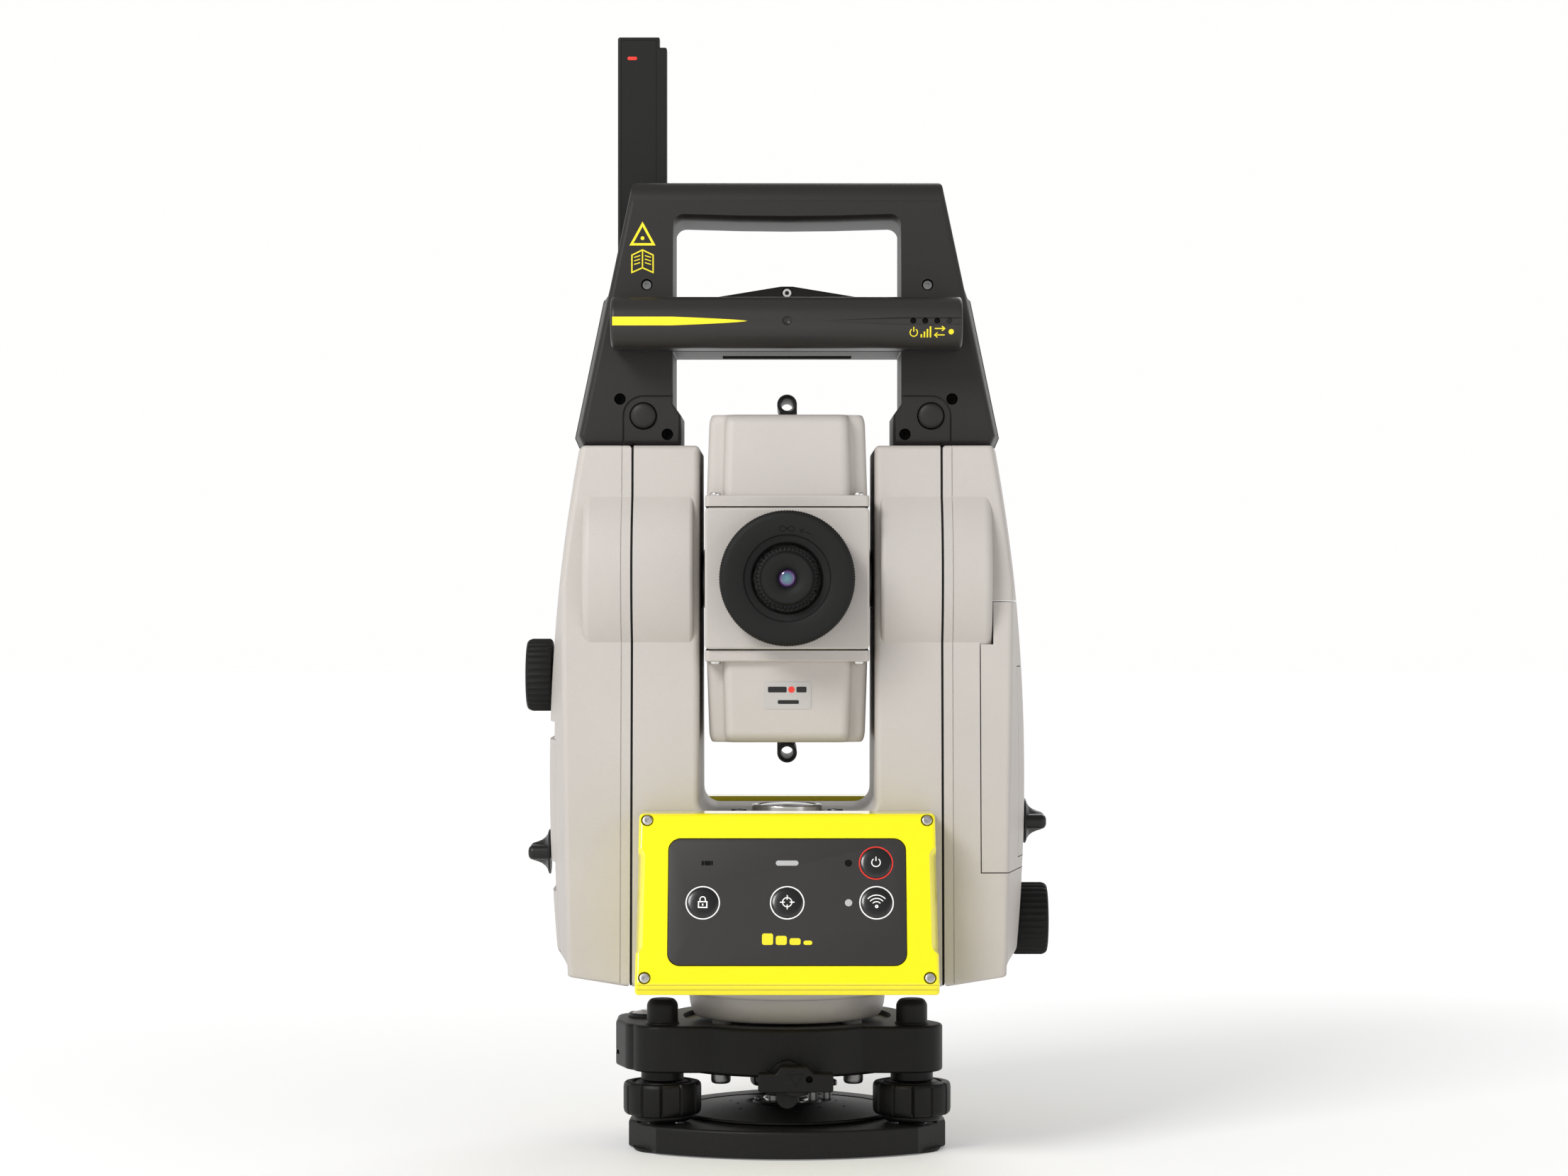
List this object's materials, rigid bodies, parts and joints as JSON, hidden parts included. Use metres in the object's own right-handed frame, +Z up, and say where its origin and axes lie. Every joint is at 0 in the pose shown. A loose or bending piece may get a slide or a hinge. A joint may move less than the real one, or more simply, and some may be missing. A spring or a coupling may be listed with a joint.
{
  "type": "surveying total station",
  "caption": "Robotic surveying total station on a three-screw tribrach, with a tilting telescope between two standards, keyboards on both faces and a radio handle.",
  "frame": {"origin": "centre of the tribrach base plate's underside, on the vertical axis", "axes": "+Z up along the vertical axis; -Y is the side with the eyepiece and the front keyboard; +X is the side with the horizontal drive knob"},
  "size_m": [0.2244, 0.198, 0.4807],
  "materials": {
    "grey_paint": "matte",
    "handle_plastic": "satin",
    "black_plastic": "satin",
    "charcoal_plastic": "satin",
    "yellow_plastic": "gloss",
    "key_plastic": "satin",
    "black_rubber": "matte",
    "black_metal": "satin",
    "steel": "satin",
    "alloy": "satin",
    "optical_glass": "polished",
    "level_glass": "polished",
    "circuit_board": "satin"
  },
  "bodies": {
    "tribrach": {"base_plate": "black_plastic", "spring_plate": "black_metal", "tribrach_body": "black_plastic", "tribrach_level": "level_glass", "instrument_base": "grey_paint"},
    "alidade": {"alidade_frame": "grey_paint", "axis_spindle": "steel", "horizontal_circle": "optical_glass", "azimuth_motor": "steel", "tilt_motor": "steel", "round_level": "level_glass", "left_cover": "grey_paint", "right_cover": "grey_paint", "communication_cover": "grey_paint", "battery": "charcoal_plastic", "memory_card": "charcoal_plastic", "circuit_board": "circuit_board", "left_bearing": "steel", "right_bearing": "steel", "front_keyboard_case": "yellow_plastic", "rear_keyboard_case": "yellow_plastic", "front_key_panel": "charcoal_plastic", "rear_key_panel": "charcoal_plastic", "handle_front": "handle_plastic", "handle_rear": "handle_plastic", "radio_module": "handle_plastic"},
    "telescope": {"telescope_housing": "grey_paint", "telescope_top_cover": "grey_paint", "telescope_bottom_cover": "grey_paint", "sight_top": "black_plastic", "sight_bottom": "black_plastic", "left_trunnion": "steel", "right_trunnion": "steel", "vertical_circle": "optical_glass", "objective_ring": "black_metal", "objective_lens": "optical_glass", "distance_meter": "alloy"},
    "footscrew_left": {"footscrew_left": "black_plastic"},
    "footscrew_right": {"footscrew_right": "black_plastic"},
    "footscrew_rear": {"footscrew_rear": "black_plastic"},
    "lock_lever": {"lock_lever": "black_plastic"},
    "battery_door": {"battery_door": "grey_paint"},
    "battery_lock_knob": {"battery_lock_knob": "black_plastic"},
    "card_door": {"card_door": "grey_paint"},
    "card_lock_knob": {"card_lock_knob": "black_plastic"},
    "tilt_knob": {"tilt_knob": "black_rubber"},
    "azimuth_knob": {"azimuth_knob": "black_rubber"},
    "handle_button_left": {"handle_button_left": "black_plastic"},
    "handle_button_right": {"handle_button_right": "black_plastic"},
    "antenna": {"antenna": "handle_plastic"},
    "focus_ring": {"focus_ring": "black_rubber"},
    "eyepiece": {"eyepiece": "black_metal"},
    "front_lock_key": {"front_lock_key": "key_plastic"},
    "front_measure_key": {"front_measure_key": "key_plastic"},
    "front_radio_key": {"front_radio_key": "key_plastic"},
    "front_power_key": {"front_power_key": "key_plastic"},
    "rear_lock_key": {"rear_lock_key": "key_plastic"},
    "rear_measure_key": {"rear_measure_key": "key_plastic"},
    "rear_radio_key": {"rear_radio_key": "key_plastic"},
    "rear_power_key": {"rear_power_key": "key_plastic"}
  },
  "joints": [
    {"name": "alidade_turn", "type": "hinge", "parent": "tribrach", "child": "alidade", "pos_m": [0, 0, 0], "axis": [0, 0, 1], "continuous": true},
    {"name": "telescope_tilt", "type": "hinge", "parent": "alidade", "child": "telescope", "pos_m": [0, 0, 0.242], "axis": [1, 0, 0], "continuous": true},
    {"name": "footscrew_left_turn", "type": "hinge", "parent": "tribrach", "child": "footscrew_left", "pos_m": [-0.0528, -0.0305, 0.022], "axis": [0, 0, 1], "range_deg": [-1080, 1080]},
    {"name": "footscrew_right_turn", "type": "hinge", "parent": "tribrach", "child": "footscrew_right", "pos_m": [0.0528, -0.0305, 0.022], "axis": [0, 0, 1], "range_deg": [-1080, 1080]},
    {"name": "footscrew_rear_turn", "type": "hinge", "parent": "tribrach", "child": "footscrew_rear", "pos_m": [0, 0.061, 0.022], "axis": [0, 0, 1], "range_deg": [-1080, 1080]},
    {"name": "lock_lever_turn", "type": "hinge", "parent": "tribrach", "child": "lock_lever", "pos_m": [0, -0.058, 0.0335], "axis": [0, 1, 0], "range_deg": [0, 180]},
    {"name": "battery_door_hinge", "type": "hinge", "parent": "alidade", "child": "battery_door", "pos_m": [-0.09844, 0, 0.0843], "axis": [0, -1, 0], "range_deg": [0, 90]},
    {"name": "card_door_hinge", "type": "hinge", "parent": "alidade", "child": "card_door", "pos_m": [0.10125, 0, 0.1243], "axis": [0, 1, 0], "range_deg": [0, 90]},
    {"name": "battery_lock_turn", "type": "hinge", "parent": "battery_door", "child": "battery_lock_knob", "pos_m": [-0.1019, 0, 0.1242], "axis": [-1, 0, 0], "range_deg": [0, 90]},
    {"name": "card_lock_turn", "type": "hinge", "parent": "card_door", "child": "card_lock_knob", "pos_m": [0.1021, 0, 0.1375], "axis": [1, 0, 0], "range_deg": [0, 90]},
    {"name": "tilt_knob_turn", "type": "hinge", "parent": "alidade", "child": "tilt_knob", "pos_m": [-0.1122, 0, 0.2005], "axis": [-1, 0, 0], "continuous": true},
    {"name": "azimuth_knob_turn", "type": "hinge", "parent": "alidade", "child": "azimuth_knob", "pos_m": [0.1122, 0, 0.0954], "axis": [1, 0, 0], "continuous": true},
    {"name": "antenna_fold", "type": "hinge", "parent": "alidade", "child": "antenna", "pos_m": [-0.0637, 0.031, 0.35], "axis": [0, 1, 0], "range_deg": [0, 90]},
    {"name": "focus_ring_turn", "type": "hinge", "parent": "telescope", "child": "focus_ring", "pos_m": [0, -0.0604, 0.242], "axis": [0, 1, 0], "range_deg": [-150, 150]},
    {"name": "eyepiece_turn", "type": "hinge", "parent": "telescope", "child": "eyepiece", "pos_m": [0, -0.061, 0.242], "axis": [0, 1, 0], "range_deg": [-120, 120]},
    {"name": "front_lock_key_press", "type": "slide", "parent": "alidade", "child": "front_lock_key", "axis": [0, 0.9397, -0.342], "range_m": [0, 0.0008], "stiffness_N_per_m": 600, "springref_m": -0.0015},
    {"name": "front_measure_key_press", "type": "slide", "parent": "alidade", "child": "front_measure_key", "axis": [0, 0.9397, -0.342], "range_m": [0, 0.0008], "stiffness_N_per_m": 600, "springref_m": -0.0015},
    {"name": "front_radio_key_press", "type": "slide", "parent": "alidade", "child": "front_radio_key", "axis": [0, 0.9397, -0.342], "range_m": [0, 0.0008], "stiffness_N_per_m": 600, "springref_m": -0.0015},
    {"name": "front_power_key_press", "type": "slide", "parent": "alidade", "child": "front_power_key", "axis": [0, 0.9397, -0.342], "range_m": [0, 0.0008], "stiffness_N_per_m": 600, "springref_m": -0.0015},
    {"name": "rear_lock_key_press", "type": "slide", "parent": "alidade", "child": "rear_lock_key", "axis": [0, -0.9397, -0.342], "range_m": [0, 0.0008], "stiffness_N_per_m": 600, "springref_m": -0.0015},
    {"name": "rear_measure_key_press", "type": "slide", "parent": "alidade", "child": "rear_measure_key", "axis": [0, -0.9397, -0.342], "range_m": [0, 0.0008], "stiffness_N_per_m": 600, "springref_m": -0.0015},
    {"name": "rear_radio_key_press", "type": "slide", "parent": "alidade", "child": "rear_radio_key", "axis": [0, -0.9397, -0.342], "range_m": [0, 0.0008], "stiffness_N_per_m": 600, "springref_m": -0.0015},
    {"name": "rear_power_key_press", "type": "slide", "parent": "alidade", "child": "rear_power_key", "axis": [0, -0.9397, -0.342], "range_m": [0, 0.0008], "stiffness_N_per_m": 600, "springref_m": -0.0015},
    {"name": "handle_button_left_press", "type": "slide", "parent": "alidade", "child": "handle_button_left", "axis": [0, 1, 0], "range_m": [0, 0.0015], "stiffness_N_per_m": 1500, "springref_m": -0.002},
    {"name": "handle_button_right_press", "type": "slide", "parent": "alidade", "child": "handle_button_right", "axis": [0, 1, 0], "range_m": [0, 0.0015], "stiffness_N_per_m": 1500, "springref_m": -0.002}
  ]
}
